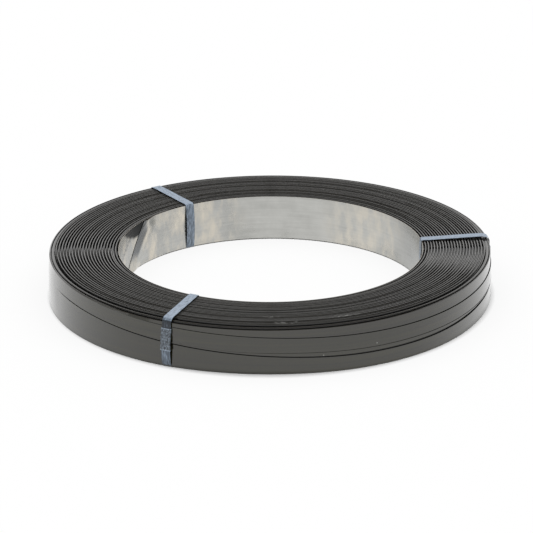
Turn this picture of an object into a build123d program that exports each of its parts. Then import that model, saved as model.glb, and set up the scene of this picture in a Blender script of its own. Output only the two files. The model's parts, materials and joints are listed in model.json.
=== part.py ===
"""A coil of black steel strapping on a bare steel core liner, held by three sealed ties.

The coil lies flat. Its axis is Z, and the floor under its ties is z = 0.
All lengths are in millimetres and all angles in degrees, counted from +X towards +Y.
"""

import os
from math import degrees, hypot

from build123d import *

# Coil and its strap
bore_diameter = 406.0
coil_build = 90.5
coil_height = 63.0
strap_width = 25.0
strap_thickness = 0.8

# Turns on both ends: ridges of strap edges, and a lower shoulder of the last few turns
ridge_count = 10
ridge_depth = 2.0
shoulder_width = 4.0
shoulder_drop = 2.0

# Last wrap, which climbs and falls once on its way round the outside
wrap_low_share = 0.46
wrap_rise_share = 0.52
wrap_high_angle = 162.0

# Core liner, a strip whose inner end laps over its other end and is cut off on a slant
liner_thickness = 0.5
lap_angle = 154.0
lap_length = 92.0
lap_slant = 40.0

# Ties, narrow strap wrapped round the ring of the coil
tie_front_angle = 243.5
tie_back_angle = 123.5
tie_right_angle = 7.0
tie_width = 13.0
tie_thickness = 0.5
tie_bow = 4.0
tie_inner_bend = 0.6
tie_outer_bend = 4.0

# Seals, a crimped sleeve over the lapped ends of each tie, a little above the middle
seal_length = 29.0
seal_wall = 0.6
seal_rise = 5.0

# Clearances: between wound or wrapped pieces, at the bore, and between a seal and its tie
seat_gap = 0.3
bore_gap = 0.35
seal_gap = 0.2

# Sizes that follow
bore_radius = bore_diameter / 2
liner_radius = bore_radius + liner_thickness
hub_radius = liner_radius + seat_gap
coil_radius = hub_radius + coil_build
base_radius = coil_radius - strap_thickness
coil_bottom = tie_thickness + seat_gap
coil_top = coil_bottom + coil_height
coil_middle = (coil_bottom + coil_top) / 2

os.makedirs("parts", exist_ok=True)


def end_profile():
    """Outline of one end from the hub outwards, as (radius, depth below the ridge tips)."""
    shoulder_radius = base_radius - shoulder_width
    pitch = (shoulder_radius - hub_radius) / ridge_count
    points = []
    for ridge in range(ridge_count):
        inner_radius = hub_radius + ridge * pitch
        points.append((inner_radius, ridge_depth))
        points.append((inner_radius + pitch, 0))
    points.append((shoulder_radius, shoulder_drop))
    points.append((base_radius, shoulder_drop))
    return points


def wrap_edge(height):
    """Tilted plane whose cut through the coil has its middle at this height."""
    uphill = Vector(1, 0, 0).rotate(Axis.Z, wrap_high_angle)
    along = uphill * (2 * coil_radius) + Vector(0, 0, wrap_rise)
    across = Vector(0, 0, 1).cross(uphill)
    return Plane(origin=(0, 0, height), x_dir=across, z_dir=along.cross(across))


def radial_plane(angle):
    """Upright plane through the axis, with its x outwards and its y up."""
    outward = Vector(1, 0, 0).rotate(Axis.Z, angle)
    return Plane(origin=(0, 0, 0), x_dir=outward, z_dir=outward.cross(Vector(0, 0, 1)))


# Last wrap, a band one strap wide and one strap thick
wrap_travel = coil_height - shoulder_drop - strap_width
wrap_rise = wrap_travel * wrap_rise_share
wrap_lower_middle = coil_bottom + wrap_travel * wrap_low_share + wrap_rise / 2

with BuildPart() as last_wrap:
    with BuildSketch(Plane.XY.offset(coil_bottom)):
        Circle(coil_radius)
        Circle(base_radius - strap_thickness, mode=Mode.SUBTRACT)
    extrude(amount=coil_height)
    split(bisect_by=wrap_edge(wrap_lower_middle), keep=Keep.TOP)
    split(bisect_by=wrap_edge(wrap_lower_middle + strap_width), keep=Keep.BOTTOM)

# Coil, turned with its ridged ends
with BuildPart() as strap_coil:
    with BuildSketch(Plane.XZ):
        with BuildLine():
            top_points = [(radius, coil_top - depth) for radius, depth in end_profile()]
            bottom_points = [(radius, coil_bottom + depth) for radius, depth in end_profile()]
            Polyline(*top_points, *reversed(bottom_points), close=True)
        make_face()
    revolve(axis=Axis.Z)
    add(last_wrap.part)

strap_coil.part.label = "strap_coil"
export_step(strap_coil.part, "parts/strap_coil.step")

# Lapped end of the liner, a strip that springs a little flatter than the bore, up to its slanted end
lap_sweep = degrees(lap_length / bore_radius)
lap_start_angle = lap_angle - lap_sweep / 2
lap_stop_angle = lap_angle + lap_sweep / 2
outer_wall = (bore_radius + liner_radius) / 2
lap_middle = Vector(bore_radius, 0, coil_middle).rotate(Axis.Z, lap_angle)
lap_outward = Vector(1, 0, 0).rotate(Axis.Z, lap_angle)
lap_along = Vector(0, 0, 1).cross(lap_outward)
slant_line = lap_along * lap_slant - Vector(0, 0, coil_height)
slant_plane = Plane(origin=lap_middle, x_dir=lap_outward, z_dir=slant_line.cross(lap_outward))

with BuildPart() as lap:
    with BuildSketch(Plane.XY.offset(coil_bottom)):
        with BuildLine():
            start_outside = Vector(outer_wall, 0).rotate(Axis.Z, lap_start_angle)
            middle_outside = Vector(outer_wall, 0).rotate(Axis.Z, lap_angle)
            stop_outside = Vector(outer_wall, 0).rotate(Axis.Z, lap_stop_angle)
            start_inside = Vector(bore_radius, 0).rotate(Axis.Z, lap_start_angle)
            middle_inside = Vector(bore_radius - liner_thickness, 0).rotate(Axis.Z, lap_angle)
            stop_inside = Vector(bore_radius - liner_thickness, 0).rotate(Axis.Z, lap_stop_angle)
            ThreePointArc(start_outside, middle_outside, stop_outside)
            Line(stop_outside, stop_inside)
            ThreePointArc(stop_inside, middle_inside, start_inside)
            Line(start_inside, start_outside)
        make_face()
    extrude(amount=coil_height)
    split(bisect_by=slant_plane, keep=Keep.TOP)

with BuildPart() as core_liner:
    with BuildSketch(Plane.XY.offset(coil_bottom)):
        Circle(liner_radius)
        Circle(bore_radius, mode=Mode.SUBTRACT)
    extrude(amount=coil_height)
    add(lap.part)

core_liner.part.label = "core_liner"
export_step(core_liner.part, "parts/core_liner.step")

# Path of a tie: snug on the bore, the ends and the floor, bowed out on the outside
tie_inside_low = tie_thickness
tie_inside_high = coil_top + seat_gap
tie_inside_near = bore_radius - bore_gap
tie_inside_far = coil_radius + seat_gap
tie_middle = (tie_inside_low + tie_inside_high) / 2
tie_half_run = (tie_inside_high - tie_inside_low) / 2
bow_radius = (tie_half_run**2 + tie_bow**2) / (2 * tie_bow)
bow_centre = (tie_inside_far + tie_bow - bow_radius, tie_middle)

tie_angles = {"front": tie_front_angle, "back": tie_back_angle, "right": tie_right_angle}

for place, angle in tie_angles.items():
    with BuildSketch(radial_plane(angle)) as inside:
        with BuildLine():
            low_far = (tie_inside_far, tie_inside_low)
            low_near = (tie_inside_near, tie_inside_low)
            high_near = (tie_inside_near, tie_inside_high)
            high_far = (tie_inside_far, tie_inside_high)
            Polyline(low_far, low_near, high_near, high_far)
            ThreePointArc(high_far, (tie_inside_far + tie_bow, tie_middle), low_far)
        make_face()
        corners = inside.vertices().group_by(lambda corner: hypot(corner.X, corner.Y))
        fillet(corners[0], tie_inner_bend)
        corners = inside.vertices().group_by(lambda corner: hypot(corner.X, corner.Y))
        fillet(corners[-1], tie_outer_bend)

    with BuildPart() as tie:
        with BuildSketch(radial_plane(angle)):
            add(inside.sketch_local)
            offset(amount=tie_thickness)
            add(inside.sketch_local, mode=Mode.SUBTRACT)
        extrude(amount=tie_width / 2, both=True)

    tie.part.label = f"tie_{place}"
    export_step(tie.part, f"parts/tie_{place}.step")

    with BuildPart() as seal:
        with BuildSketch(radial_plane(angle)):
            with Locations(bow_centre):
                Circle(bow_radius + tie_thickness + seal_gap + seal_wall)
                Circle(bow_radius - seal_gap - seal_wall, mode=Mode.SUBTRACT)
            with Locations((tie_inside_far, tie_middle + seal_rise)):
                Rectangle(bow_radius, seal_length, mode=Mode.INTERSECT)
        extrude(amount=tie_width / 2 + seal_gap + seal_wall, both=True)
        with BuildSketch(radial_plane(angle)):
            with Locations(bow_centre):
                Circle(bow_radius + tie_thickness + seal_gap)
                Circle(bow_radius - seal_gap, mode=Mode.SUBTRACT)
        extrude(amount=tie_width / 2 + seal_gap, both=True, mode=Mode.SUBTRACT)

    seal.part.label = f"seal_{place}"
    export_step(seal.part, f"parts/seal_{place}.step")
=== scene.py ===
"""Looks of a flat coil of black steel strapping on a bare steel core liner, held by three sealed ties.

Lengths are in metres and angles in radians, counted round the axis of the coil from +X towards +Y.
"""

import json
import math
import random
from collections import namedtuple

import bmesh
import bpy
from bpy.props import FloatProperty, FloatVectorProperty, IntProperty, PointerProperty
from bpy.types import Operator, Panel, PropertyGroup
from mathutils import Matrix, Quaternion, Vector


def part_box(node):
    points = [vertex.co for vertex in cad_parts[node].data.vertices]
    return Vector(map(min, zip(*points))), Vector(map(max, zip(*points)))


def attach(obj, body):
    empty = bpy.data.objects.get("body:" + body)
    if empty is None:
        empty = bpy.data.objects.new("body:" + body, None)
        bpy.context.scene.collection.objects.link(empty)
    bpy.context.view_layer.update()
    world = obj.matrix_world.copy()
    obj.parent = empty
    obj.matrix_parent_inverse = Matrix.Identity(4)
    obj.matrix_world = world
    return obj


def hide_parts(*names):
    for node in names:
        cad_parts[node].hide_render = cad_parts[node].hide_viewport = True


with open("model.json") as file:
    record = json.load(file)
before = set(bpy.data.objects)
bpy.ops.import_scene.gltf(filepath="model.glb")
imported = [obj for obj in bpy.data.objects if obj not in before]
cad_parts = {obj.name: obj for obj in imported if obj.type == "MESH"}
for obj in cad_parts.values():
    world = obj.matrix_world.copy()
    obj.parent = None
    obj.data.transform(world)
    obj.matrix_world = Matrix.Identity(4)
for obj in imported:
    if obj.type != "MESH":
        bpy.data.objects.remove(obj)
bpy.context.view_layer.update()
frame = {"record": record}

bl_info = {
    "name": "Steel strapping coil",
    "version": (1, 0, 0),
    "blender": (4, 5, 0),
    "location": "3D View > Sidebar > Strapping",
    "description": "Dresses a coil of steel strapping, its liner, ties and seals, and sets its stage",
    "category": "Object",
}

MM = 0.001

# Places and sizes that the frame gives
COIL_LOW, COIL_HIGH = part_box("strap_coil")
LINER_LOW, LINER_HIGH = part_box("core_liner")
MOUNTS = {mount["name"]: mount for mount in frame["record"]["mounts"]}
BORE_RADIUS = MOUNTS["core_bore"]["dims"]["r_mm"] * MM
TIE_PLACES = ("front", "back", "right")


def mount_angle(name):
    """Angle round the axis at which a mount sits."""
    place = MOUNTS[name]["pos_m"]
    return math.atan2(place[1], place[0])


TIE_ANGLES = {place: mount_angle("rest_" + place) for place in TIE_PLACES}


def linear(hex_colour):
    """Linear colour with alpha of an sRGB hex value."""
    channels = []
    for shift in (16, 8, 0):
        value = (hex_colour >> shift & 255) / 255
        channels.append(value / 12.92 if value <= 0.04045 else ((value + 0.055) / 1.055) ** 2.4)
    return (*channels, 1.0)


def length(name, description, millimetres):
    """Property of a length, with its default in millimetres."""
    return FloatProperty(
        name=name,
        description=description,
        default=millimetres * MM,
        precision=5,
        unit="LENGTH",
        subtype="DISTANCE",
    )


def three_lengths(name, description, millimetres):
    """Property of one length for each of the front, back and right tie, with defaults in millimetres."""
    return FloatVectorProperty(
        name=name,
        description=description + ", of the front, back and right tie",
        default=[value * MM for value in millimetres],
        size=3,
        precision=5,
        unit="LENGTH",
        subtype="XYZ_LENGTH",
    )


def angle(name, description, degrees):
    """Property of an angle, with its default in degrees."""
    return FloatProperty(
        name=name,
        description=description,
        default=math.radians(degrees),
        precision=4,
        unit="ROTATION",
        subtype="ANGLE",
    )


def share(name, description, value):
    """Property of a plain number from 0 upwards."""
    return FloatProperty(name=name, description=description, default=value, min=0)


def colour(name, description, hex_colour):
    """Property of a colour, with its default as an sRGB hex value."""
    return FloatVectorProperty(
        name=name, description=description, default=linear(hex_colour), size=4, min=0, max=1, subtype="COLOR"
    )


class CoilSizes(PropertyGroup):
    """Sizes of the wound strap."""

    spokes: IntProperty(name="Spokes", description="Columns of faces round the coil", default=240, min=24)
    seed: IntProperty(name="Seed", description="Seed of the uneven turns", default=7)
    turn_width: length("Turn width", "Width of the pair of turns that makes a ridge or a gap", 1.97)
    turn_unevenness: length("Turn unevenness", "Most that the edge of a turn strays sideways", 0.12)
    height_unevenness: length("Height unevenness", "Most that a turn lies under its neighbours", 0.35)
    height_wave: length("Height wave", "Slow rise and fall of a turn on its way round", 0.12)
    cross_stray: angle("Cross stray", "Most that the place where a turn goes low shifts per turn", 0.8)
    turn_lean: share("Turn lean", "Most that the edge of a turn leans in or out, as a slope", 0.05)
    ridge_drop: length("Ridge drop", "Drop of the rounded flanks of a ridge", 1.0)
    edge_round: length("Edge round", "Rounding of the edges on the outside", 0.35)
    gap_depth: length("Gap depth", "Depth of the gaps where a turn lies low", 8)
    under_depth: length("Under depth", "Depth of the gaps on the underside", 6)
    hub_gap: length("Hub gap", "Clearance between the liner and the first turn", 0.3)
    shoulder_width: length("Shoulder width", "Width of the smooth outer turns", 7)
    shoulder_drop: length("Shoulder drop", "Depth of the smooth outer turns under the ridges", 1.4)
    shoulder_sink: length("Shoulder sink", "Further sinking of the smooth outer turns at the front", 0.8)
    shoulder_tilt: length("Shoulder tilt", "Outward tilt of the smooth outer turns at the front", 0.4)
    outer_width: length("Outer width", "Width of the outermost turn", 1.2)
    outer_drop: length("Outer drop", "Depth of the outermost edge under the ridges", 1.3)
    outer_sink: length("Outer sink", "Further sinking of the outermost edge at the front", 3.2)
    outer_shift: length("Outer shift", "Shift of the outermost turns to the left", 0.9)
    seam_width: length("Seam width", "Width of the seams between the outer turns", 1.1)
    seam_depth: length("Seam depth", "Depth of the seams between the outer turns", 6)
    strap_thickness: length("Strap thickness", "Height of the last wrap over the turn under it", 0.8)
    line_right: angle("Line right", "Way right from the low to the high end of an edge line", 150)
    line_spread: share("Line spread", "Share by which the edge lines grow wider towards the right", 1.3)
    thin_angle: angle("Thin line angle", "Angle at which the upper edge line is lowest", -45)
    thin_height: length("Thin line height", "Lowest height of the upper edge line over the underside", 44.2)
    thin_rise: length("Thin line rise", "Rise of the upper edge line", 16)
    thin_left: angle("Thin line left", "Way left from the low to the high end of the upper edge line", 130)
    thin_width: length("Thin line width", "Width of the upper edge line", 0.55)
    thin_depth: length("Thin line depth", "Depth of the upper edge line", 0.8)
    heavy_angle: angle("Heavy line angle", "Angle at which the lower edge line is lowest", -58)
    heavy_height: length("Heavy line height", "Lowest height of the lower edge line over the underside", 19.3)
    heavy_rise: length("Heavy line rise", "Rise of the lower edge line", 23)
    heavy_left: angle("Heavy line left", "Way left from the low to the high end of the lower edge line", 112)
    heavy_width: length("Heavy line width", "Width of the lower edge line", 1.7)
    heavy_depth: length("Heavy line depth", "Depth of the lower edge line", 1.6)
    line_pocket: length("Line pocket", "Depth to which the edge lines go down behind the strap under them", 4)
    second_height: length("Second line height", "Height of the short line over the underside", 25.4)
    second_rise: length("Second line rise", "Rise of the short line towards the left", 3)
    second_width: length("Second line width", "Width of the short line", 0.4)
    second_depth: length("Second line depth", "Depth of the short line", 2)
    second_clear: length("Second line clear", "Least height of the short line over the lower edge line", 3)
    flare: length("Flare", "Growth of the outer turns towards the floor", 1.2)
    left_flare: length("Left flare", "Further growth of the loose outer turns at the left", 2.1)
    right_flare: length("Right flare", "Further growth of the loose outer turns at the right", 2.6)
    foot_sag: length("Foot sag", "Sag of the outer turns towards the floor", 0.5)
    scuff_width: length("Scuff width", "Half of the width of the scuffs at the front", 5)


class LinerSizes(PropertyGroup):
    """Sizes of the core liner."""

    top_drop: length("Top drop", "Depth of the upper rim under the turns", 1.1)
    foot_rise: length("Foot rise", "Height of the lower rim over the underside", 0.4)
    rim_round: length("Rim round", "Rounding of the rims", 0.12)
    thickness: length("Thickness", "Thickness of the strip", 0.4)
    flap_start: angle("Flap start", "Angle at which the lapped end leaves the wall", 136)
    flap_top: angle("Flap top", "Angle of the top of the lapped end", 148)
    flap_bottom: angle("Flap bottom", "Angle of the bottom of the lapped end", 163.8)
    flap_seat: length("Flap seat", "Distance of the lapped strip from the bore's wall", 0.5)
    flap_lift: length("Flap lift", "Distance that the lapped end bulges away from the wall", 3)
    flap_bend: length("Flap bend", "Length over which the lapped end rises to its bulge", 25)
    flap_facet: length("Flap facet", "Length of the bent end that goes back to the wall", 18)
    # The dark corner beside the lap is painted shade
    lap_shade_start: angle("Shade start", "Angle at which the shaded corner beside the lap is deepest", 152.9)
    lap_shade_stop: angle("Shade stop", "Angle at which the shaded corner meets the rim", 166.5)
    lap_shade_depth: length("Shade depth", "Depth of the shaded corner under the rim", 17.4)
    crease_angle: angle("Crease angle", "Angle of the crease beside the lap at its top", 160.7)
    crease_depth: length("Crease depth", "Depth of the top of the crease under the rim", 15)
    crease_slant: angle("Crease slant", "Way that the crease goes round on its way down the wall", 33)
    crease_width: angle("Crease width", "Half of the width of the crease", 2.4)


class TieSizes(PropertyGroup):
    """Sizes of the ties and their seals."""

    width: length("Width", "Width of a tie", 12.4)
    thickness: length("Thickness", "Thickness of a tie", 0.5)
    seat: length("Seat", "Clearance between a tie and the coil", 0.3)
    inner_bend: length("Inner bend", "Radius of the bends at the bore", 2.4)
    outer_bend: length("Outer bend", "Radius of the bends at the outside", 5)
    outer_bow: three_lengths("Outer bow", "Bow of the outer run", (2.6, 3, 0.6))
    inner_bow: three_lengths("Inner bow", "Bow of the inner run into the bore", (0.4, 2.4, 0.6))
    inner_skew: three_lengths("Inner skew", "Sideways shift of the inner run", (-8.6, 0, 0))
    top_arch: three_lengths("Top arch", "Rise of the top run near its outer end", (0.4, 0.3, 1.6))
    seal_length: length("Seal length", "Length of a seal along its tie", 29)
    seal_rise: length("Seal rise", "Height of a seal over the middle of its tie", 5)
    seal_wall: length("Seal wall", "Thickness of the sheet of a seal", 0.6)
    seal_gap: length("Seal gap", "Room between a seal and its tie", 0.15)
    crimp_depth: length("Crimp depth", "Depth of the notches that lock a seal", 0.8)


class Finishes(PropertyGroup):
    """Colours of the finishes."""

    paint_dark: colour("Dark paint", "Strap paint in its darker streaks", 0x171509)
    paint_light: colour("Light paint", "Strap paint in its lighter streaks", 0x292713)
    paint_worn: colour("Worn paint", "Rubbed strap edges", 0x27231C)
    # Painted shade: near-black colour in the gaps between the turns, on the flanks of the ridges and in the
    # edge lines, where shade falls
    paint_gap_shade: colour("Gap dirt", "Dull dirt in the gaps between the turns", 0x050504)
    paint_scuff: colour("Scuff", "Scuffs and chips that show the steel", 0x9C9C98)
    liner_dark: colour("Dark liner", "Duller clouds of the liner", 0xAFAFAB)
    liner_light: colour("Light liner", "Brighter clouds of the liner", 0xC8C8C4)
    liner_stain: colour("Liner stain", "Warm stains of the liner", 0xDDD6C8)
    # Painted reflection: darker grey that stands in for dark reflections on the bent facet of the lap, along
    # the crease beside it and on the right of the bore; on the left it darkens the wall a little
    liner_dark_reflection: colour("Dull liner", "Rubbed, creased and bent parts of the liner", 0x7E8184)
    # Painted shade: near-black colour in the corner of the wall beside the lapped end, where shade falls
    liner_lap_shade: colour("Liner oil", "Dark shaded corner of the liner beside its lap", 0x121414)
    # Painted highlight: near-white colour on the rounded rims of the strip, where they catch the light
    liner_rim_highlight: colour("Liner rim", "Highlighted rims of the liner", 0xFFF6EA)
    tie_dark: colour("Dark tie", "Deep tone of the blued ties", 0x1E262F)
    tie_light: colour("Light tie", "Pale tone of the blued ties", 0x5F6C7A)
    tie_highlight: colour("Bare tie", "Rubbed top runs of the ties and ends of the seals", 0xA3B2C4)
    # Painted highlight: pale tone on the top runs of the ties and the ends of the seals, where they catch the
    # light
    seal_dark: colour("Dark seal", "Deep tone of the dull seals", 0x272C32)
    seal_light: colour("Light seal", "Pale tone of the dull seals", 0x6B757F)


class StageSizes(PropertyGroup):
    """Camera, floor and light."""

    eye: FloatVectorProperty(
        name="Eye",
        description="Place of the camera",
        default=(0, -4.24635, 1.62875),
        size=3,
        subtype="XYZ_LENGTH",
    )
    look_down: angle("Look down", "Angle of the view under the horizon", 20.574)
    look_left: angle("Look left", "Turn of the view to the left", 0.079)
    roll: angle("Roll", "Roll of the camera", -0.297)
    lens: FloatProperty(name="Lens", description="Focal length on a 36 mm sensor", default=228.98)
    floor_size: FloatProperty(name="Floor size", description="Side of the floor", default=40, unit="LENGTH")
    floor_colour: colour("Floor colour", "Pale floor", 0xFFFFFF)
    room_light: share("Room light", "Strength of the light from all round", 0.7)
    ceiling_light: share("Ceiling light", "Brightness of the ceiling in reflections", 0.1)
    back_light: share("Back light", "Brightness in reflections of the room beside its bright sides", 0.5)
    lamp_light: share("Lamp light", "Strength on level ground of the soft lamp overhead", 0.3)
    lamp_spread: angle("Lamp spread", "Angle over which the soft lamp spreads", 100)
    shadow_share: share("Shadow share", "Share of the floor's look that takes shadows", 0.15)
    contact_near: length("Contact near", "Radius up to which the floor takes all of the shadow", 299)
    contact_far: length("Contact far", "Radius from which the floor takes its usual share of it", 308)
    contact_squeeze: share("Contact squeeze", "How much smaller these radii are at the left and right", 1.025)


# Helpers for meshes and nodes


def smooth(value):
    """Ease from 0 at 0 to 1 at 1."""
    value = min(max(value, 0), 1)
    return value * value * (3 - 2 * value)


def within(turn, start, stop, start_fade, stop_fade):
    """1 on the way round from start to stop, fading to 0 over the given angles at its two ends."""
    span = (stop - start) % math.tau
    past = (turn - start) % math.tau
    if past > span:
        return 0
    return smooth(past / start_fade) * smooth((span - past) / stop_fade)


def add_node(tree, kind, settings=None, links=None, stops=None):
    """Add a node with its settings, the links into it and, for a ramp, its stops.

    A link comes from a socket, or from the first output of a node.
    """
    made = tree.nodes.new(kind)
    for name, value in (settings or {}).items():
        if isinstance(name, int) or name in made.inputs:
            made.inputs[name].default_value = value
        else:
            setattr(made, name, value)
    for name, source in (links or {}).items():
        socket = source.outputs[0] if isinstance(source, bpy.types.Node) else source
        tree.links.new(socket, made.inputs[name])
    if stops:
        elements = made.color_ramp.elements
        while len(elements) < len(stops):
            elements.new(1)
        for element, (position, stop_colour) in zip(elements, stops):
            element.position = position
            element.color = stop_colour
    return made


def new_material(name):
    """Material with an empty tree of nodes."""
    material = bpy.data.materials.new(name)
    material.use_nodes = True
    material.node_tree.nodes.clear()
    return material, material.node_tree


def spin_outline(mesh_in_work, outline, layer, steps, sweep=math.tau):
    """Spin an outline of (radius, height, mark) round the axis, and keep each mark in the layer.

    For a full turn the outline is closed, and its last column is merged with its first.
    """
    chain = []
    for radius, height, mark in outline:
        vert = mesh_in_work.verts.new((radius, 0, height))
        vert[layer] = mark
        chain.append(vert)
    full = sweep == math.tau
    followers = chain[1:] + chain[:1] if full else chain[1:]
    edges = [mesh_in_work.edges.new(pair) for pair in zip(chain, followers)]
    bmesh.ops.spin(
        mesh_in_work,
        geom=chain + edges,
        cent=(0, 0, 0),
        axis=(0, 0, 1),
        angle=sweep,
        steps=steps,
        use_merge=full,
    )


def add_piece(name, mesh_in_work, material, nodes, sharp_angle):
    """Make an object of a finished bmesh, in place of the named nodes."""
    mesh = bpy.data.meshes.new(name)
    mesh_in_work.to_mesh(mesh)
    mesh_in_work.free()
    mesh.materials.append(material)
    mesh.shade_smooth()
    mesh.set_sharp_from_angle(angle=sharp_angle)
    piece = bpy.data.objects.new(name, mesh)
    bpy.context.collection.objects.link(piece)
    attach(piece, "root")
    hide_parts(*nodes)


def turned_uv(mesh_in_work):
    """UV map with the way round the axis along U, and the way across the surface along V, both in metres."""
    layer = mesh_in_work.loops.layers.uv.new("Turned")
    for face in mesh_in_work.faces:
        middle = face.calc_center_median()
        middle_turn = math.atan2(middle.y, middle.x)
        for loop in face.loops:
            place = loop.vert.co
            turn = math.atan2(place.y, place.x)
            turn -= math.tau * round((turn - middle_turn) / math.tau)
            radius = math.hypot(place.x, place.y)
            loop[layer].uv = (turn * COIL_HIGH.x, radius + place.z)


# Materials, with the sizes of their patterns

# Sockets of a Mix node that mixes colours: its mask, the colours under and over it, and the mixed one
MASK = 0
UNDER = 6
OVER = 7
MIXED = 2

# Paint: streaks along the strap and scratches in its scuffs, by length and width, patches of gloss and chips.
# The scratches are drawn coarser than real ones, so that they show.
PAINT_STREAK = (500 * MM, 3 * MM)
SCRATCH = (9 * MM, 2.4 * MM)
GLOSS_PATCH = 24 * MM
CHIP_DISTANCE = 34 * MM

# Liner: rolling lines and upright smears, by width and height, and clouds
ROLLING_LINE = (60 * MM, 3 * MM)
SMEAR = (14 * MM, 30 * MM)
CLOUD = 45 * MM

# Ties and seals: streaks, by length and width
TIE_STREAK = (9 * MM, 1.8 * MM)
SEAL_STREAK = (3 * MM, 2 * MM)

# Height of the fine relief of the liner's steel and of blued steel
RELIEF = 0.1 * MM


def black_strap_paint(finishes):
    """Black stoved paint under wax: near black, mirror-like at a slant, rubbed on edges, dull in the gaps,
    where painted shade darkens it to near black.
    """
    material, tree = new_material("black_strap_paint")
    surface = add_node(tree, "ShaderNodeTexCoord")
    on_strap = surface.outputs["UV"]
    on_coil = surface.outputs["Object"]
    long, wide = PAINT_STREAK
    along = add_node(tree, "ShaderNodeMapping", {"Scale": (1 / long, 1 / wide, 1)}, {"Vector": on_strap})
    streaks = add_node(
        tree, "ShaderNodeTexNoise", {"Scale": 1, "Detail": 2, "Roughness": 0.5}, {"Vector": along}
    )
    patches = add_node(
        tree,
        "ShaderNodeTexNoise",
        {"Scale": 1 / GLOSS_PATCH, "Detail": 3, "Roughness": 0.55},
        {"Vector": on_coil},
    )
    tone = add_node(
        tree,
        "ShaderNodeValToRGB",
        links={"Fac": streaks},
        stops=((0.32, finishes.paint_dark), (0.72, finishes.paint_light)),
    )
    long, wide = SCRATCH
    drawn = add_node(tree, "ShaderNodeMapping", {"Scale": (1 / long, 1 / wide, 1)}, {"Vector": on_strap})
    scratches = add_node(
        tree, "ShaderNodeTexNoise", {"Scale": 1, "Detail": 3, "Roughness": 0.6}, {"Vector": drawn}
    )
    scratched = add_node(
        tree, "ShaderNodeMapRange", {"From Min": 0.47, "From Max": 0.6}, {"Value": scratches}
    )
    scuff = add_node(tree, "ShaderNodeAttribute", {"attribute_name": "scuff"})
    scuffed = add_node(
        tree,
        "ShaderNodeMath",
        {"operation": "MULTIPLY", "use_clamp": True},
        {0: scuff.outputs["Fac"], 1: scratched},
    )
    cells = add_node(tree, "ShaderNodeTexVoronoi", {"Scale": 1 / CHIP_DISTANCE}, {"Vector": on_coil})
    chips = add_node(
        tree, "ShaderNodeMapRange", {"From Min": 0.035, "From Max": 0.02, "To Max": 0.6}, {"Value": cells}
    )
    marks = add_node(tree, "ShaderNodeMath", {"operation": "MAXIMUM"}, {0: scuffed, 1: chips})
    wear = add_node(tree, "ShaderNodeAttribute", {"attribute_name": "wear"})
    # How deep a place lies in a gap or an edge line, which mixes in the painted shade and makes the paint
    # dull
    deep = add_node(tree, "ShaderNodeAttribute", {"attribute_name": "deep"})
    gaps = add_node(tree, "ShaderNodeMapRange", {"From Max": 0.4}, {"Value": deep.outputs["Fac"]})
    shown = tone.outputs["Color"]
    for mask, cover in (
        (wear.outputs["Fac"], finishes.paint_worn),
        (marks, finishes.paint_scuff),
        (gaps, finishes.paint_gap_shade),
    ):
        covered = add_node(
            tree, "ShaderNodeMix", {"data_type": "RGBA", OVER: cover}, {MASK: mask, UNDER: shown}
        )
        shown = covered.outputs[MIXED]
    gloss = add_node(
        tree,
        "ShaderNodeMapRange",
        {"From Min": 0.3, "From Max": 0.7, "To Min": 0.16, "To Max": 0.24},
        {"Value": patches},
    )
    dull = add_node(tree, "ShaderNodeMapRange", {"To Max": 0.95}, {"Value": gaps, "To Min": gloss})
    shader = add_node(
        tree,
        "ShaderNodeBsdfPrincipled",
        {"Coat Weight": 1, "Coat Roughness": 0.06},
        {"Base Color": shown, "Roughness": dull},
    )
    add_node(tree, "ShaderNodeOutputMaterial", links={"Surface": shader})
    return material


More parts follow.
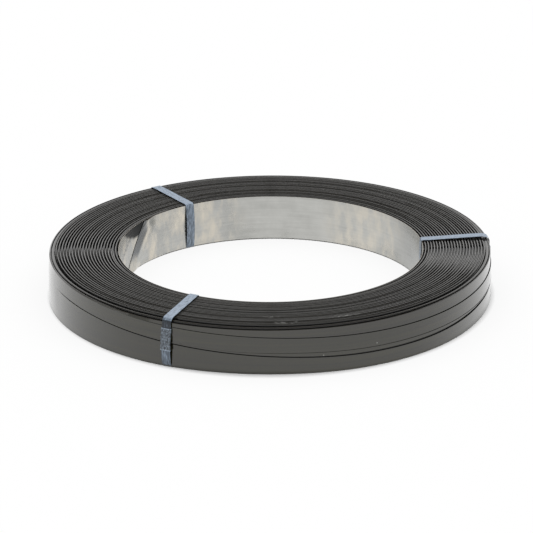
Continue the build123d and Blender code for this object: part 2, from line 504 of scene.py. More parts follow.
def bare_liner_steel(finishes):
    """Bare cold-rolled sheet: satin grey with faint rolling lines and warm upright smears, with painted dark
    reflection on the lap and the right side, painted shade in the corner beside the lap, and a painted
    highlight on the rims.
    """
    material, tree = new_material("bare_liner_steel")
    on_wall = add_node(tree, "ShaderNodeTexCoord").outputs["Object"]
    wide, high = ROLLING_LINE
    rolled = add_node(
        tree, "ShaderNodeMapping", {"Scale": (1 / wide, 1 / wide, 1 / high)}, {"Vector": on_wall}
    )
    lines = add_node(
        tree, "ShaderNodeTexNoise", {"Scale": 1, "Detail": 3, "Roughness": 0.5}, {"Vector": rolled}
    )
    clouds = add_node(
        tree, "ShaderNodeTexNoise", {"Scale": 1 / CLOUD, "Detail": 4, "Roughness": 0.55}, {"Vector": on_wall}
    )
    mixed = add_node(tree, "ShaderNodeMath", {"operation": "MULTIPLY_ADD", 1: 0.35}, {0: lines, 2: clouds})
    tone = add_node(
        tree,
        "ShaderNodeValToRGB",
        links={"Fac": mixed},
        stops=((0.5, finishes.liner_dark), (0.85, finishes.liner_light)),
    )
    wide, high = SMEAR
    upright = add_node(
        tree, "ShaderNodeMapping", {"Scale": (1 / wide, 1 / wide, 1 / high)}, {"Vector": on_wall}
    )
    smears = add_node(
        tree, "ShaderNodeTexNoise", {"Scale": 1, "Detail": 3, "Roughness": 0.55}, {"Vector": upright}
    )
    stains = add_node(tree, "ShaderNodeMapRange", {"From Min": 0.42, "From Max": 0.66}, {"Value": smears})
    marks = {}
    for name in ("smear", "dull", "lap_shade", "rim"):
        marks[name] = add_node(tree, "ShaderNodeAttribute", {"attribute_name": name}).outputs["Fac"]
    stained = add_node(
        tree, "ShaderNodeMath", {"operation": "MULTIPLY", "use_clamp": True}, {0: stains, 1: marks["smear"]}
    )
    shown = tone.outputs["Color"]
    for mask, cover in (
        (stained, finishes.liner_stain),
        (marks["dull"], finishes.liner_dark_reflection),
        (marks["lap_shade"], finishes.liner_lap_shade),
        (marks["rim"], finishes.liner_rim_highlight),
    ):
        covered = add_node(
            tree, "ShaderNodeMix", {"data_type": "RGBA", OVER: cover}, {MASK: mask, UNDER: shown}
        )
        shown = covered.outputs[MIXED]
    satin = add_node(
        tree,
        "ShaderNodeMapRange",
        {"From Min": 0.3, "From Max": 0.7, "To Min": 0.24, "To Max": 0.36},
        {"Value": clouds},
    )
    bump = add_node(tree, "ShaderNodeBump", {"Strength": 0.05, "Distance": RELIEF}, {"Height": lines})
    shader = add_node(
        tree,
        "ShaderNodeBsdfPrincipled",
        {"Metallic": 1},
        {"Base Color": shown, "Roughness": satin, "Normal": bump},
    )
    add_node(tree, "ShaderNodeOutputMaterial", links={"Surface": shader})
    return material


def blued_steel(name, streak, dark, light, highlight_tone):
    """Blued strip: blue-grey oxide in streaks of a given length and width, raised towards a pale tone as a
    painted highlight and lowered as painted shade.
    """
    material, tree = new_material(name)
    on_strip = add_node(tree, "ShaderNodeTexCoord").outputs["UV"]
    long, wide = streak
    drawn = add_node(tree, "ShaderNodeMapping", {"Scale": (1 / long, 1 / wide, 1)}, {"Vector": on_strip})
    mottle = add_node(
        tree, "ShaderNodeTexNoise", {"Scale": 1, "Detail": 3, "Roughness": 0.6}, {"Vector": drawn}
    )
    # Painted light and tone: the mark raises the tone as a painted highlight or lowers it as painted shade
    tone_and_light = add_node(tree, "ShaderNodeAttribute", {"attribute_name": "tone_and_light"})
    level = add_node(
        tree, "ShaderNodeMath", {"operation": "MULTIPLY_ADD", 1: 1.5}, {0: mottle, 2: tone_and_light.outputs["Fac"]}
    )
    tone = add_node(
        tree, "ShaderNodeValToRGB", links={"Fac": level}, stops=((0.3, dark), (0.6, light), (1, highlight_tone))
    )
    satin = add_node(
        tree,
        "ShaderNodeMapRange",
        {"From Min": 0.3, "From Max": 0.7, "To Min": 0.28, "To Max": 0.45},
        {"Value": mottle},
    )
    bump = add_node(tree, "ShaderNodeBump", {"Strength": 0.15, "Distance": RELIEF}, {"Height": mottle})
    shader = add_node(
        tree,
        "ShaderNodeBsdfPrincipled",
        {"Coat Weight": 0.25, "Coat Roughness": 0.18},
        {"Base Color": tone, "Roughness": satin, "Normal": bump},
    )
    add_node(tree, "ShaderNodeOutputMaterial", links={"Surface": shader})
    return material


# Wound strap: one outline of turn edges, spun round the axis and then shifted up and down along each turn

ROW_PARTS = "radius height falls line dent wear deep phase pocket"
Row = namedtuple("Row", ROW_PARTS, defaults=((), None, 0, 0, 0, None, 0))


def stretch(start, stop, start_fade, stop_fade):
    """Stretch of the way round, from start to stop, with the fade at each of them, given in degrees."""
    return tuple(math.radians(value) for value in (start, stop, start_fade, stop_fade))


# Stretches in which a turn lies low, the outer turns sink or flare, a seam is open, or a line shows or grows
BACK_STRETCH = stretch(-14, 186, 34, 16)
FRONT_STRETCH = stretch(-178, -5, 16, 56)
HUB_STRETCH = stretch(172, 134, 5, 5)
SINK_STRETCH = stretch(-178, 0, 62, 70)
SEAM_STRETCH = stretch(100, -2, 50, 10)
HEAVY_STRETCH = stretch(-162, 120, 22, 40)
SECOND_STRETCH = stretch(-115, 6, 70, 6)
SPREAD_STRETCH = stretch(-105, 80, 90, 40)
THIN_STRETCH = stretch(-134, 120, 32, 40)
LEFT_FLARE = stretch(140, -98, 40, 28)
RIGHT_FLARE = stretch(-90, -18, 24, 34)

# Scuffs at the front, as radius and stretch
SCUFFS = (
    (258 * MM, stretch(-93, -86, 2, 2)),
    (277 * MM, stretch(-90, -82, 2, 2)),
    (271 * MM, stretch(-75, -64, 3, 3)),
)

# Outlines of a ridge above and below, as shares of its width and of its drop, and the painted shade on its
# flanks
RIDGE_SHARES = ((0.02, 1), (0.2, 0.13), (0.5, 0), (0.8, 0.13), (0.98, 1))
UNDER_SHARES = ((0.02, 1), (0.5, 0), (0.98, 1))
FLANK_SHADE = 0.3

# Share of the width of an edge line that its floor takes, and of the height over which the outside flares
LIP_SHARE = 0.9
FLARE_SHARE = 0.7

# Turns beside the liner: the first lies low except behind the lap, the third all round, and from the fifth on
# they change over
LAP_TURN = 0
OPEN_TURN = 2
FIRST_CROSSING = 4

# Shares of a turn's lean and of the stray of its crossing that pass on to the next turn
LEAN_KEPT = 0.5
STRAY_KEPT = 0.8

# Waves of a turn's height on its way round, and the way over which the short line rises at the left
HEIGHT_WAVES = 2
SECOND_SWEEP = math.radians(40)

# Room between the outside and the turns of the underside, in edge rounds, and the least angle of a sharp edge
UNDER_INSET = 3
STRAP_SHARP = math.radians(26)


def ring_rows(inner, outer, height, drop, falls=(), phase=None, shares=RIDGE_SHARES, deep=0, lean=0, tilt=0):
    """Rows of the crowned edge of a pair of turns: flanks with painted shade, a lean all round and a tilt at
    the front.
    """
    rows = []
    for place_share, drop_share in shares:
        out = (outer - inner) * place_share
        level = height - drop * drop_share + lean * (out - (outer - inner) / 2)
        # Flanks take part of the painted shade, and a low turn takes it as deep as it lies
        shade = max(deep, FLANK_SHADE if drop_share == 1 else 0)
        row_falls = falls + ((tilt * place_share, SINK_STRETCH, False),) if tilt else falls
        rows.append(Row(inner + out, level, row_falls, wear=1 - drop_share, deep=shade, phase=phase))
    return rows


def turn_falls(turn, depth, stray):
    """How far a turn lies low and in which stretch: turn by turn, but the same all round beside the liner."""
    if turn == LAP_TURN:
        return ((depth, HUB_STRETCH, True),)
    if turn == OPEN_TURN:
        return ((depth, None, True),)
    if turn < FIRST_CROSSING:
        return ()
    start, stop, start_fade, stop_fade = FRONT_STRETCH if turn % 2 else BACK_STRETCH
    return ((depth, (start + stray, stop + stray, start_fade, stop_fade), True),)


def top_rows(sizes, top, hub, base):
    """Rows of the upper end, from the hub outwards."""
    chance = random.Random(sizes.seed)
    ridges_outer = base - sizes.shoulder_width
    count = round((ridges_outer - hub) / sizes.turn_width)
    turn_width = (ridges_outer - hub) / count
    rows = []
    inner = hub
    lean = 0
    cross = 0
    for turn in range(count):
        stray = chance.uniform(-1, 1) * sizes.turn_unevenness
        outer = hub + turn_width * (turn + 1) + (stray if turn < count - 1 else 0)
        height = top + chance.uniform(-1, 0) * sizes.height_unevenness
        phase = chance.uniform(0, math.tau)
        lean = LEAN_KEPT * lean + chance.uniform(-1, 1) * sizes.turn_lean
        cross = STRAY_KEPT * cross + chance.uniform(-1, 1) * sizes.cross_stray
        falls = turn_falls(turn, sizes.gap_depth, cross)
        rows += ring_rows(inner, outer, height, sizes.ridge_drop, falls, phase, lean=lean)
        inner = outer

    seam_falls = ((sizes.seam_depth, SEAM_STRETCH, True),)
    shoulder_falls = ((sizes.shoulder_sink, SINK_STRETCH, False),)
    shoulder_top = top - sizes.shoulder_drop
    edge = sizes.edge_round
    smooth_inner = ridges_outer + sizes.seam_width
    outer_inner = base - sizes.outer_width
    smooth_outer = outer_inner - sizes.seam_width
    tilt = sizes.shoulder_tilt
    rows += ring_rows(ridges_outer, smooth_inner, shoulder_top - edge, edge, seam_falls)
    rows += ring_rows(smooth_inner, smooth_outer, shoulder_top, edge, shoulder_falls, tilt=tilt)
    rows += ring_rows(smooth_outer, outer_inner, shoulder_top - edge, edge, seam_falls)
    outer_falls = ((sizes.outer_sink, SINK_STRETCH, False),)
    edge_top = top - sizes.outer_drop
    rows.append(Row(outer_inner, edge_top - edge, outer_falls, deep=FLANK_SHADE))
    rows.append(Row(outer_inner + edge, edge_top, outer_falls, wear=1))
    return rows


def outer_rows(sizes, top, bottom, base):
    """Rows of the outside, from the top edge down, with the last wrap between its two edge lines."""
    proud = base + sizes.strap_thickness
    edge = sizes.edge_round
    foot = bottom - sizes.foot_sag
    thin_drop = sizes.strap_thickness + sizes.thin_depth
    heavy_drop = sizes.strap_thickness + sizes.heavy_depth
    edge_top = top - sizes.outer_drop
    falls = ((sizes.outer_sink, SINK_STRETCH, False),)
    rows = [Row(base - edge, edge_top, falls, wear=1), Row(base, edge_top - edge, falls, wear=0.5)]
    for line, width, above, below, drop, pocket in (
        ("thin", sizes.thin_width, base, proud, thin_drop, sizes.line_pocket),
        ("second", sizes.second_width, proud, proud, sizes.second_depth, 0),
        ("heavy", sizes.heavy_width, proud, base, heavy_drop, sizes.line_pocket),
    ):
        half = width / 2
        lip = half * LIP_SHARE
        rows.append(Row(above, half, line=line))
        # The floor of an edge line takes the full painted shade
        rows.append(Row(proud, lip, line=line, dent=drop, deep=1))
        rows.append(Row(proud, -lip, line=line, dent=drop, deep=1, pocket=pocket))
        rows.append(Row(below, -half, line=line))
    rows.append(Row(base, foot + edge))
    rows.append(Row(base - edge, foot, wear=1))
    return rows


def under_rows(sizes, bottom, hub, base):
    """Rows of the underside, from the outside back to the hub."""
    outermost = base - UNDER_INSET * sizes.edge_round
    count = round((outermost - hub) / (2 * sizes.turn_width))
    pitch = (outermost - hub) / count
    rows = []
    for turn in reversed(range(count)):
        inner = hub + pitch * turn
        middle = inner + pitch / 2
        gap_floor = bottom + sizes.under_depth
        # The gaps of the underside take the full painted shade
        gap = ring_rows(middle, inner + pitch, gap_floor, -sizes.edge_round, shares=UNDER_SHARES, deep=1)
        ridge = ring_rows(inner, middle, bottom, -sizes.edge_round, shares=UNDER_SHARES)
        rows += reversed(gap)
        rows += reversed(ridge)
    return rows


def swung(turn, low_angle, low_height, rise, left, right):
    """Height of an edge line that rises both ways from its low point."""
    past = (turn - low_angle + math.pi) % math.tau - math.pi
    span = right if past > 0 else left
    return low_height + rise * (1 - math.cos(math.pi * min(abs(past) / span, 1))) / 2


def line_heights(turn, sizes):
    """Heights of the edge lines over the underside at an angle, by the line's name."""
    right = sizes.line_right
    thin = swung(turn, sizes.thin_angle, sizes.thin_height, sizes.thin_rise, sizes.thin_left, right)
    heavy = swung(turn, sizes.heavy_angle, sizes.heavy_height, sizes.heavy_rise, sizes.heavy_left, right)
    left_share = smooth((sizes.heavy_angle - turn) / SECOND_SWEEP)
    second = max(sizes.second_height + sizes.second_rise * left_share, heavy + sizes.second_clear)
    return {"thin": thin, "heavy": heavy, "second": second}


def flare_at(turn, level, sizes):
    """Growth of the outside at an angle and a share of the coil's height."""
    left = sizes.left_flare * within(turn, *LEFT_FLARE)
    right = sizes.right_flare * within(turn, *RIGHT_FLARE)
    return (sizes.flare + left + right) * min(max((1 - level) / FLARE_SHARE, 0), 1)


def line_strengths(turn):
    """Shares of their depth that the edge lines have at an angle, by the line's name."""
    stretches = {"thin": THIN_STRETCH, "heavy": HEAVY_STRETCH, "second": SECOND_STRETCH}
    return {line: within(turn, *where) for line, where in stretches.items()}


class STRAPCOIL_OT_wound_strap(Operator):
    """Wind the strap: ridged ends, and the edges of its last wrap outside"""

    bl_idname = "strapcoil.wound_strap"
    bl_label = "Wound strap"

    def execute(self, context):
        sizes = context.scene.strapcoil_coil
        top = COIL_HIGH.z
        bottom = COIL_LOW.z
        hub = LINER_HIGH.x + sizes.hub_gap
        proud = COIL_HIGH.x
        base = proud - sizes.strap_thickness
        rows = top_rows(sizes, top, hub, base)
        rows += outer_rows(sizes, top, bottom, base)
        rows += under_rows(sizes, bottom, hub, base)

        work = bmesh.new()
        row_layer = work.verts.layers.int.new("row")
        wear_layer = work.verts.layers.float.new("wear")
        deep_layer = work.verts.layers.float.new("deep")
        scuff_layer = work.verts.layers.float.new("scuff")
        outline = [(row.radius, row.height, index) for index, row in enumerate(rows)]
        spin_outline(work, outline, row_layer, sizes.spokes)
        for vert in work.verts:
            row = rows[vert[row_layer]]
            vert[wear_layer] = row.wear
            turn = math.atan2(vert.co.y, vert.co.x)
            height = row.height
            radius = row.radius
            deep = row.deep
            if row.line:
                spread = 1 + sizes.line_spread * within(turn, *SPREAD_STRETCH)
                strength = line_strengths(turn)[row.line]
                offset = (row.height - row.pocket * strength) * spread
                height = bottom + line_heights(turn, sizes)[row.line] + offset
                radius = proud - (proud - radius + row.dent) * strength
                deep *= strength
            # A low turn sinks, and where its fall is marked it takes painted shade as deep as it falls
            for depth, where, gap_shaded in row.falls:
                fall = depth * (within(turn, *where) if where else 1)
                height -= fall
                deep += fall / sizes.gap_depth if gap_shaded else 0
            if row.phase is not None:
                height += sizes.height_wave * (math.sin(HEIGHT_WAVES * turn + row.phase) - 1)
            scuffed = 0
            for scuff_radius, where in SCUFFS:
                near = max(0, 1 - abs(radius - scuff_radius) / sizes.scuff_width)
                scuffed = max(scuffed, near * within(turn, *where))
            vert[deep_layer] = deep
            vert[scuff_layer] = scuffed if row.wear and height > top / 2 else 0
            if row.radius > base - sizes.outer_width:
                radius += flare_at(turn, (height - bottom) / (top - bottom), sizes)
            shift = sizes.outer_shift * (radius - hub) / (base - hub)
            vert.co = (radius * math.cos(turn) - shift, radius * math.sin(turn), height)
        bmesh.ops.recalc_face_normals(work, faces=work.faces)
        turned_uv(work)
        paint = black_strap_paint(context.scene.strapcoil_finishes)
        add_piece("wound_strap", work, paint, ["strap_coil"], STRAP_SHARP)
        return {"FINISHED"}


# Core liner: columns and levels of its faces, and the least angle of a sharp edge
LINER_SPOKES = 360
LINER_LEVELS = 16
LINER_SHARP = math.radians(30)

# Lapped end, which is spun over one radian and then drawn to its place
FLAP_STEPS = 32
FLAP_SWEEP = 1

# Share of the facet's length that is left at the rim, and how fast the facet, seat and bulge grow
FACET_LEAST = 0.15
FACET_GROWTH = 4
SEAT_GROWTH = 4
BULGE_GROWTH = 3

# Painted dark reflection on the facet: its most, how fast it sets in at the bend and above the foot, and
# where it starts
FACET_DARK_REFLECTION = 0.9
BEND_GROWTH = 4
FOOT_GROWTH = 5
FOOT_SHARE = 0.18

# Softness of the lower edge of the painted shade beside the lap where it is deepest, and what it gains
# towards the rim
LAP_SHADE_SOFT = 1.5 * MM
LAP_SHADE_SOFT_GAIN = 2 * MM

# Crease, a band of painted dark reflection: where it starts over its top and where it ends, as shares of the
# height, and how fast it fades
CREASE_LEAD = 0.06
CREASE_END = 0.55
CREASE_FADE = 2.4

# Stretches with smears, with painted dark reflection on the right and a slight darkening on the left, and
# their shares
LEFT_SMEAR = stretch(98, 176, 14, 10)
RIGHT_SMEAR = stretch(24, 72, 14, 14)
RIGHT_DARK_REFLECTION = stretch(-8, 40, 10, 18)
RIGHT_SMEAR_SHARE = 0.6
LEFT_DARKENING_SHARE = 0.12
RIGHT_DARK_REFLECTION_SHARE = 0.3


def flap_bulge(to_end, facet, sizes):
    """How far the lapped end stands off the wall at a distance from its cut edge."""
    if to_end < facet:
        return sizes.flap_lift * to_end / facet
    return sizes.flap_lift * (1 - smooth((to_end - facet) / sizes.flap_bend))


def lap_shade_share(turn, depth, sizes):
    """How much painted shade the wall takes at an angle and a depth under its rim: a corner with a soft,
    curved lower edge.
    """
    way = min(max((turn - sizes.lap_shade_start) / (sizes.lap_shade_stop - sizes.lap_shade_start), 0), 1)
    soft = LAP_SHADE_SOFT + LAP_SHADE_SOFT_GAIN * way
    return smooth((sizes.lap_shade_depth * (1 - way * way) - depth) / soft + 0.5) if turn < sizes.lap_shade_stop else 0


def crease_share(turn, depth, height, sizes):
    """How much painted dark reflection the wall takes at an angle and a depth under its rim: a slanted crease
    that fades downwards.
    """
    down = (depth - sizes.crease_depth) / height
    if down < -CREASE_LEAD:
        return 0
    off = abs(turn - sizes.crease_angle - sizes.crease_slant * down) / sizes.crease_width
    return max(0, 1 - off) * smooth(CREASE_FADE * (CREASE_END - down))


class STRAPCOIL_OT_liner(Operator):
    """Line the bore with a strip whose slanted end laps over its start"""

    bl_idname = "strapcoil.liner"
    bl_label = "Core liner"

    def execute(self, context):
        sizes = context.scene.strapcoil_liner
        top = LINER_HIGH.z - sizes.top_drop
        bottom = LINER_LOW.z + sizes.foot_rise
        inner = BORE_RADIUS
        outer = LINER_HIGH.x
        soft = sizes.rim_round
        step = (top - bottom - 2 * soft) / LINER_LEVELS
        heights = [bottom + soft + step * level for level in range(LINER_LEVELS + 1)]

        work = bmesh.new()
        rim_layer = work.verts.layers.float.new("rim")
        smear_layer = work.verts.layers.float.new("smear")
        dull_layer = work.verts.layers.float.new("dull")
        lap_shade_layer = work.verts.layers.float.new("lap_shade")
        # Rims are marked 1, and take the painted highlight
        outline = [(outer, bottom + soft, 0), (outer - soft, bottom, 1), (inner + soft, bottom, 1)]
        outline += [(inner, height, 0) for height in heights]
        outline += [(inner + soft, top, 1), (outer - soft, top, 1), (outer, top - soft, 0)]
        spin_outline(work, outline, rim_layer, LINER_SPOKES)
        for vert in work.verts:
            past = math.atan2(vert.co.y, vert.co.x) % math.tau
            if sizes.flap_start < past < math.pi and not vert[rim_layer]:
                # Painted shade in the corner beside the lap, and painted dark reflection along the crease
                vert[lap_shade_layer] = lap_shade_share(past, top - vert.co.z, sizes)
                vert[dull_layer] = crease_share(past, top - vert.co.z, top - bottom, sizes)
        bmesh.ops.recalc_face_normals(work, faces=work.faces)
        wall_verts = set(work.verts)

        seat = inner - sizes.flap_seat
        outline = [(seat, bottom, 1), *((seat, height, 0) for height in heights), (seat, top, 1)]
        spin_outline(work, outline, rim_layer, FLAP_STEPS, FLAP_SWEEP)
        flap_verts = [vert for vert in work.verts if vert not in wall_verts]
        for vert in flap_verts:
            along = math.atan2(vert.co.y, vert.co.x) / FLAP_SWEEP
            level = (vert.co.z - bottom) / (top - bottom)
            stop = sizes.flap_bottom + (sizes.flap_top - sizes.flap_bottom) * level
            turn = sizes.flap_start + (stop - sizes.flap_start) * along
            to_end = (stop - turn) * BORE_RADIUS
            facet_share = FACET_LEAST + (1 - FACET_LEAST) * smooth(FACET_GROWTH * (1 - level))
            facet = sizes.flap_facet * facet_share
            lift = sizes.flap_seat * smooth(SEAT_GROWTH * along)
            lift += flap_bulge(to_end, facet, sizes) * smooth(BULGE_GROWTH * along)
            # The facet takes painted dark reflection from its bend to its cut edge, above the foot
            dull = smooth(BEND_GROWTH * (1 - to_end / facet)) * smooth(FOOT_GROWTH * (level - FOOT_SHARE))
            vert[dull_layer] = FACET_DARK_REFLECTION * dull
            vert.co.x = (inner - lift) * math.cos(turn)
            vert.co.y = (inner - lift) * math.sin(turn)
        flap_faces = [face for face in work.faces if not any(vert in wall_verts for vert in face.verts)]
        for face in flap_faces:
            face.normal_update()
            if face.normal.dot(face.calc_center_median() * Vector((1, 1, 0))) > 0:
                face.normal_flip()
        bmesh.ops.solidify(work, geom=flap_faces, thickness=sizes.thickness)

        for vert in work.verts:
            turn = math.atan2(vert.co.y, vert.co.x)
            left = within(turn, *LEFT_SMEAR)
            # Smears on the left and right, painted dark reflection on the right, and a slight darkening on
            # the left
            right = within(turn, *RIGHT_DARK_REFLECTION)
            vert[smear_layer] = max(left, RIGHT_SMEAR_SHARE * within(turn, *RIGHT_SMEAR))
            vert[dull_layer] = max(vert[dull_layer], LEFT_DARKENING_SHARE * left, RIGHT_DARK_REFLECTION_SHARE * right)
        steel = bare_liner_steel(context.scene.strapcoil_finishes)
        add_piece("liner_strip", work, steel, ["core_liner"], LINER_SHARP)
        return {"FINISHED"}


# Ties and seals: shifts of their tone, up as a painted highlight on the top runs and the ends of the seals,
# down as painted shade on the runs beside the coil, and down to a darker tone on the bodies of the seals
TOP_HIGHLIGHT = 0.18
INNER_SHADE = -0.05
LOWER_RUN_SHADE = -0.2
UPPER_RUN_SHADE = -0.5
SEAL_TONE = -0.28
SEAL_END_HIGHLIGHT = 0.15

# Outer run: how fast its painted shade grows paler on its way down, and where it starts to
PALER_GROWTH = 2
PALER_START = 0.5

# Ties: segments of the bends, cuts of the runs, least length of a run in outer bends, and share of an edge
INNER_SEGMENTS = 5
OUTER_SEGMENTS = 8
RUN_CUTS = 24
RUN_LEAST = 4
EDGE_SHARE = 0.04

# Arch of the top run: how fast it rises outwards, how fast it falls, and where it ends as a share of the run
ARCH_RISE = 1.1
ARCH_FALL = 6
ARCH_END = 1.04

# Seals: cuts along them, and shares of their length from the middle to a notch, across half of it, to an end
SEAL_CUTS = 17
NOTCH_PLACE = 0.2
NOTCH_HALF = 0.09
SEAL_END = 0.49

# Least angle of a sharp edge of a tie or a seal
TIE_SHARP = math.radians(40)


def tie_frame(sizes):
    """Inner radius, outer radius, lowest and highest line of the inside of a tie."""
    near = BORE_RADIUS - sizes.seat
    far = COIL_HIGH.x + sizes.seat
    return near, far, sizes.thickness, COIL_HIGH.z + sizes.seat


def bow_out(height, low, high, bow):
    """Bow of an upright run at a height."""
    return bow * math.sin(math.pi * min(max((height - low) / (high - low), 0), 1))


def outer_reach(height, index, sizes, coil):
    """How far the outer run of a tie goes outwards at a height, by its bow and the flare of the coil."""
    low, high = tie_frame(sizes)[2:]
    level = (height - low) / (high - low)
    flare = flare_at(TIE_ANGLES[TIE_PLACES[index]], level, coil)
    return bow_out(height, low, high, sizes.outer_bow[index]) + flare


def strip_uv(mesh_in_work, start):
    """UV map with the way along a tie along U and the way across it along V, both in metres."""
    layer = mesh_in_work.loops.layers.uv.new("Strip")
    for face in mesh_in_work.faces:
        for loop in face.loops:
            place = loop.vert.co
            loop[layer].uv = (start + place.x - place.z, place.y)


def add_at_tie(name, mesh_in_work, index, material, nodes):
    """Map a piece that was made at angle 0, turn it to the place of its tie and add it."""
    strip_uv(mesh_in_work, index)
    turn = Matrix.Rotation(TIE_ANGLES[TIE_PLACES[index]], 3, "Z")
    bmesh.ops.rotate(mesh_in_work, verts=mesh_in_work.verts, cent=(0, 0, 0), matrix=turn)
    bmesh.ops.recalc_face_normals(mesh_in_work, faces=mesh_in_work.faces)
    add_piece(name, mesh_in_work, material, nodes, TIE_SHARP)


class STRAPCOIL_OT_ties(Operator):
    """Wrap the three ties round the ring of the coil"""

    bl_idname = "strapcoil.ties"
    bl_label = "Ties"

    def execute(self, context):
        sizes = context.scene.strapcoil_ties
        coil = context.scene.strapcoil_coil
        tones = context.scene.strapcoil_finishes
        steel = blued_steel("blued_tie_steel", TIE_STREAK, tones.tie_dark, tones.tie_light, tones.tie_highlight)
        near, far, low, high = tie_frame(sizes)
        for index, place in enumerate(TIE_PLACES):
            work = bmesh.new()
            path = ((near, low), (far, low), (far, high), (near, high))
            corners = [work.verts.new((radius, -sizes.width / 2, height)) for radius, height in path]
            for pair in zip(corners, corners[1:] + corners[:1]):
                work.edges.new(pair)
            for bent, bend, segments in (
                (corners[::3], sizes.inner_bend, INNER_SEGMENTS),
                (corners[1:3], sizes.outer_bend, OUTER_SEGMENTS),
            ):
                bmesh.ops.bevel(
                    work,
                    geom=bent,
                    offset=bend,
                    segments=segments,
                    profile=0.5,
                    affect="VERTICES",
                    material=-1,
                )
            runs = [edge for edge in work.edges if edge.calc_length() > RUN_LEAST * sizes.outer_bend]
            bmesh.ops.subdivide_edges(work, edges=runs, cuts=RUN_CUTS)
            for vert in work.verts:
                radius, height = vert.co.x, vert.co.z
                if radius < near + sizes.inner_bend:
                    vert.co.x -= bow_out(height, low, high, sizes.inner_bow[index])
                if radius > far - sizes.outer_bend:
                    vert.co.x += outer_reach(height, index, sizes, coil)
                if height > high - sizes.outer_bend and radius > near:
                    out = (radius - near) / (far - near)
                    arch = smooth(ARCH_RISE * out) * smooth(ARCH_FALL * (ARCH_END - out))
                    vert.co.z += sizes.top_arch[index] * arch
            loop_edges = list(work.edges)
            for part in (EDGE_SHARE, 1 - 2 * EDGE_SHARE, EDGE_SHARE):
                made = bmesh.ops.extrude_edge_only(work, edges=loop_edges)["geom"]
                moved = [item for item in made if isinstance(item, bmesh.types.BMVert)]
                bmesh.ops.translate(work, verts=moved, vec=(0, sizes.width * part, 0))
                loop_edges = [item for item in made if isinstance(item, bmesh.types.BMEdge)]
                loop_edges = [edge for edge in loop_edges if all(vert in moved for vert in edge.verts)]
            centre = Vector(((near + far) / 2, 0, (low + high) / 2))
            for face in work.faces:
                if face.normal.dot(face.calc_center_median() - centre) < 0:
                    face.normal_flip()
            tone_and_light_layer = work.verts.layers.float.new("tone_and_light")
            # Top runs take the painted highlight, inner runs a little painted shade, and outer runs painted
            # shade that grows paler downwards
            for vert in work.verts:
                inward = min(max((far - vert.co.x) / (far - near), 0), 1)
                if vert.co.z > high - sizes.thickness:
                    vert[tone_and_light_layer] = TOP_HIGHLIGHT
                elif inward > 0:
                    vert[tone_and_light_layer] = INNER_SHADE
                else:
                    down = smooth(PALER_GROWTH * (high - vert.co.z) / (high - low) - PALER_START)
                    vert[tone_and_light_layer] = UPPER_RUN_SHADE + (LOWER_RUN_SHADE - UPPER_RUN_SHADE) * down
                vert.co.y += sizes.inner_skew[index] * inward
            bmesh.ops.solidify(work, geom=work.faces[:], thickness=-sizes.thickness)
            add_at_tie(f"{place}_tie", work, index, steel, [f"tie_{place}"])
        return {"FINISHED"}


class STRAPCOIL_OT_seals(Operator):
    """Close each tie with a notched sleeve of sheet steel"""

    bl_idname = "strapcoil.seals"
    bl_label = "Seals"

    def execute(self, context):
        sizes = context.scene.strapcoil_ties
        coil = context.scene.strapcoil_coil
        tones = context.scene.strapcoil_finishes
        steel = blued_steel(
            "blued_seal_steel", SEAL_STREAK, tones.seal_dark, tones.seal_light, tones.tie_highlight
        )
        far, low, high = tie_frame(sizes)[1:]
        middle = (low + high) / 2 + sizes.seal_rise
        depth = sizes.thickness + 2 * sizes.seal_gap
        width = sizes.width + 2 * sizes.seal_gap
        for index, place in enumerate(TIE_PLACES):
            work = bmesh.new()
            cube = bmesh.ops.create_cube(work, size=1)
            bmesh.ops.scale(work, verts=cube["verts"], vec=(depth, width, sizes.seal_length))
            ends = [face for face in work.faces if abs(face.normal.z) > 0.5]
            bmesh.ops.delete(work, geom=ends, context="FACES_ONLY")
            upright = [edge for edge in work.edges if edge.calc_length() > sizes.seal_length / 2]
            bmesh.ops.subdivide_edges(work, edges=upright, cuts=SEAL_CUTS)
            tone_and_light_layer = work.verts.layers.float.new("tone_and_light")
            for vert in work.verts:
                level = abs(vert.co.z) / sizes.seal_length
                notch = max(0, 1 - abs(level - NOTCH_PLACE) / NOTCH_HALF)
                vert.co.y -= math.copysign(sizes.crimp_depth * notch, vert.co.y)
                # The ends of a seal take the painted highlight, and its body a darker tone
                vert[tone_and_light_layer] = SEAL_END_HIGHLIGHT if level > SEAL_END else SEAL_TONE
            bmesh.ops.recalc_face_normals(work, faces=work.faces)
            bmesh.ops.solidify(work, geom=work.faces[:], thickness=-sizes.seal_wall)
            for vert in work.verts:
                vert.co.z += middle
                vert.co.x += far + sizes.thickness / 2 + outer_reach(vert.co.z, index, sizes, coil)
            add_at_tie(f"{place}_seal", work, index, steel, [f"seal_{place}"])
        return {"FINISHED"}


# Stage: width of the camera's sensor in millimetres, and the room as reflections show it
SENSOR_WIDTH = 36

# Sideways shares of a direction between which the bright sides start, and heights at which they are bright
SIDES_START = {"From Min": 0.01, "From Max": 0.07}
BLACK = linear(0x000000)
WHITE = linear(0xFFFFFF)
SIDES_STOPS = ((0.2, BLACK), (0.29, WHITE), (0.39, WHITE), (0.46, BLACK))

# Heights of a direction between which the room goes over to its ceiling
CEILING_START = 0.38
CEILING_FULL = 0.7


def seen_directly(tree):
    """Node that gives 1 for what the camera, a reflection or clear glass sees, and 0 for other light."""
    path = add_node(tree, "ShaderNodeLightPath")
    shiny = add_node(
        tree,
        "ShaderNodeMath",
        {"operation": "MAXIMUM"},
        {0: path.outputs["Is Glossy Ray"], 1: path.outputs["Is Transmission Ray"]},
    )
    return add_node(
        tree, "ShaderNodeMath", {"operation": "MAXIMUM"}, {0: path.outputs["Is Camera Ray"], 1: shiny}
    )


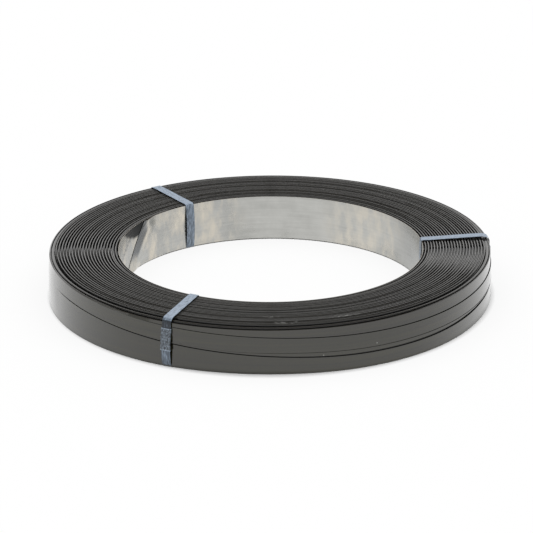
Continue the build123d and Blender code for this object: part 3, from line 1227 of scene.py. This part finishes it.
class STRAPCOIL_OT_stage(Operator):
    """Set the pale floor, the soft light and the camera"""

    bl_idname = "strapcoil.stage"
    bl_label = "Stage"

    def execute(self, context):
        scene = context.scene
        sizes = scene.strapcoil_stage
        scene.view_settings.view_transform = "Standard"

        work = bmesh.new()
        bmesh.ops.create_grid(work, x_segments=1, y_segments=1, size=sizes.floor_size / 2)
        mesh = bpy.data.meshes.new("floor")
        work.to_mesh(mesh)
        work.free()
        floor = bpy.data.objects.new("floor", mesh)
        scene.collection.objects.link(floor)
        material, tree = new_material("pale_floor")
        bright = 1 - sizes.shadow_share
        lit = add_node(tree, "ShaderNodeBsdfDiffuse", {"Color": sizes.floor_colour})
        white = add_node(tree, "ShaderNodeEmission", {"Color": sizes.floor_colour, "Strength": 1})
        place = add_node(tree, "ShaderNodeTexCoord").outputs["Object"]
        radius = add_node(tree, "ShaderNodeVectorMath", {"operation": "LENGTH"}, {0: place})
        drawn_in = add_node(
            tree,
            "ShaderNodeVectorMath",
            {"operation": "MULTIPLY", 1: (sizes.contact_squeeze, 1, 1)},
            {0: place},
        )
        reach = add_node(tree, "ShaderNodeVectorMath", {"operation": "LENGTH"}, {0: drawn_in})
        outside = add_node(
            tree,
            "ShaderNodeMapRange",
            {"From Min": sizes.contact_near, "From Max": sizes.contact_far, "To Max": bright},
            {"Value": reach.outputs["Value"]},
        )
        in_bore = add_node(
            tree, "ShaderNodeMath", {"operation": "LESS_THAN", 1: BORE_RADIUS}, {0: radius.outputs["Value"]}
        )
        unshaded = add_node(
            tree, "ShaderNodeMapRange", {"To Max": bright}, {"Value": in_bore, "To Min": outside}
        )
        part = add_node(
            tree, "ShaderNodeMath", {"operation": "MULTIPLY"}, {0: seen_directly(tree), 1: unshaded}
        )
        both = add_node(tree, "ShaderNodeMixShader", links={0: part, 1: lit, 2: white})
        add_node(tree, "ShaderNodeOutputMaterial", links={"Surface": both})
        mesh.materials.append(material)

        world = bpy.data.worlds.new("white_room")
        world.use_nodes = True
        tree = world.node_tree
        tree.nodes.clear()
        direction = add_node(tree, "ShaderNodeTexCoord").outputs["Generated"]
        axes = add_node(tree, "ShaderNodeSeparateXYZ", links={0: direction})
        sideways = add_node(tree, "ShaderNodeMath", {"operation": "ABSOLUTE"}, {0: axes.outputs["X"]})
        apart = add_node(tree, "ShaderNodeMapRange", SIDES_START, {"Value": sideways})
        strip = add_node(tree, "ShaderNodeValToRGB", links={"Fac": axes.outputs["Z"]}, stops=SIDES_STOPS)
        lit_sides = add_node(tree, "ShaderNodeMath", {"operation": "MULTIPLY"}, {0: apart, 1: strip})
        sides = add_node(tree, "ShaderNodeMapRange", {"To Min": sizes.back_light}, {"Value": lit_sides})
        backdrop = add_node(
            tree,
            "ShaderNodeMapRange",
            {"From Min": CEILING_START, "From Max": CEILING_FULL, "To Max": sizes.ceiling_light},
            {"Value": axes.outputs["Z"], "To Min": sides},
        )
        strength = add_node(
            tree,
            "ShaderNodeMapRange",
            {"To Min": sizes.room_light},
            {"Value": seen_directly(tree), "To Max": backdrop},
        )
        room = add_node(tree, "ShaderNodeBackground", {"Color": sizes.floor_colour}, {"Strength": strength})
        add_node(tree, "ShaderNodeOutputWorld", links={"Surface": room})
        scene.world = world

        lamp = bpy.data.lights.new("soft_lamp", "SUN")
        lamp.energy = sizes.lamp_light * math.pi
        lamp.angle = sizes.lamp_spread
        lamp_object = bpy.data.objects.new("soft_lamp", lamp)
        lamp_object.visible_glossy = False
        scene.collection.objects.link(lamp_object)

        camera = bpy.data.cameras.new("camera")
        camera.lens = sizes.lens
        camera.sensor_width = SENSOR_WIDTH
        camera_object = bpy.data.objects.new("camera", camera)
        camera_object.location = sizes.eye
        level = math.cos(sizes.look_down)
        left = sizes.look_left
        gaze = Vector((-math.sin(left) * level, math.cos(left) * level, -math.sin(sizes.look_down)))
        camera_object.rotation_mode = "QUATERNION"
        camera_object.rotation_quaternion = gaze.to_track_quat("-Z", "Y") @ Quaternion((0, 0, 1), sizes.roll)
        scene.collection.objects.link(camera_object)
        scene.camera = camera_object
        return {"FINISHED"}


class STRAPCOIL_PT_panel(Panel):
    """Sidebar panel that lists the steps"""

    bl_label = "Steel strapping coil"
    bl_idname = "STRAPCOIL_PT_panel"
    bl_space_type = "VIEW_3D"
    bl_region_type = "UI"
    bl_category = "Strapping"

    def draw(self, context):
        for operator in OPERATORS:
            self.layout.operator(operator.bl_idname)


GROUPS = {
    "strapcoil_coil": CoilSizes,
    "strapcoil_liner": LinerSizes,
    "strapcoil_ties": TieSizes,
    "strapcoil_finishes": Finishes,
    "strapcoil_stage": StageSizes,
}
OPERATORS = (
    STRAPCOIL_OT_wound_strap,
    STRAPCOIL_OT_liner,
    STRAPCOIL_OT_ties,
    STRAPCOIL_OT_seals,
    STRAPCOIL_OT_stage,
)


def register():
    for name, group in GROUPS.items():
        bpy.utils.register_class(group)
        setattr(bpy.types.Scene, name, PointerProperty(type=group))
    for operator in OPERATORS:
        bpy.utils.register_class(operator)
    bpy.utils.register_class(STRAPCOIL_PT_panel)


def unregister():
    bpy.utils.unregister_class(STRAPCOIL_PT_panel)
    for operator in reversed(OPERATORS):
        bpy.utils.unregister_class(operator)
    for name, group in GROUPS.items():
        delattr(bpy.types.Scene, name)
        bpy.utils.unregister_class(group)


def main():
    register()
    bpy.ops.strapcoil.wound_strap()
    bpy.ops.strapcoil.liner()
    bpy.ops.strapcoil.ties()
    bpy.ops.strapcoil.seals()
    bpy.ops.strapcoil.stage()


if __name__ == "__main__":
    main()
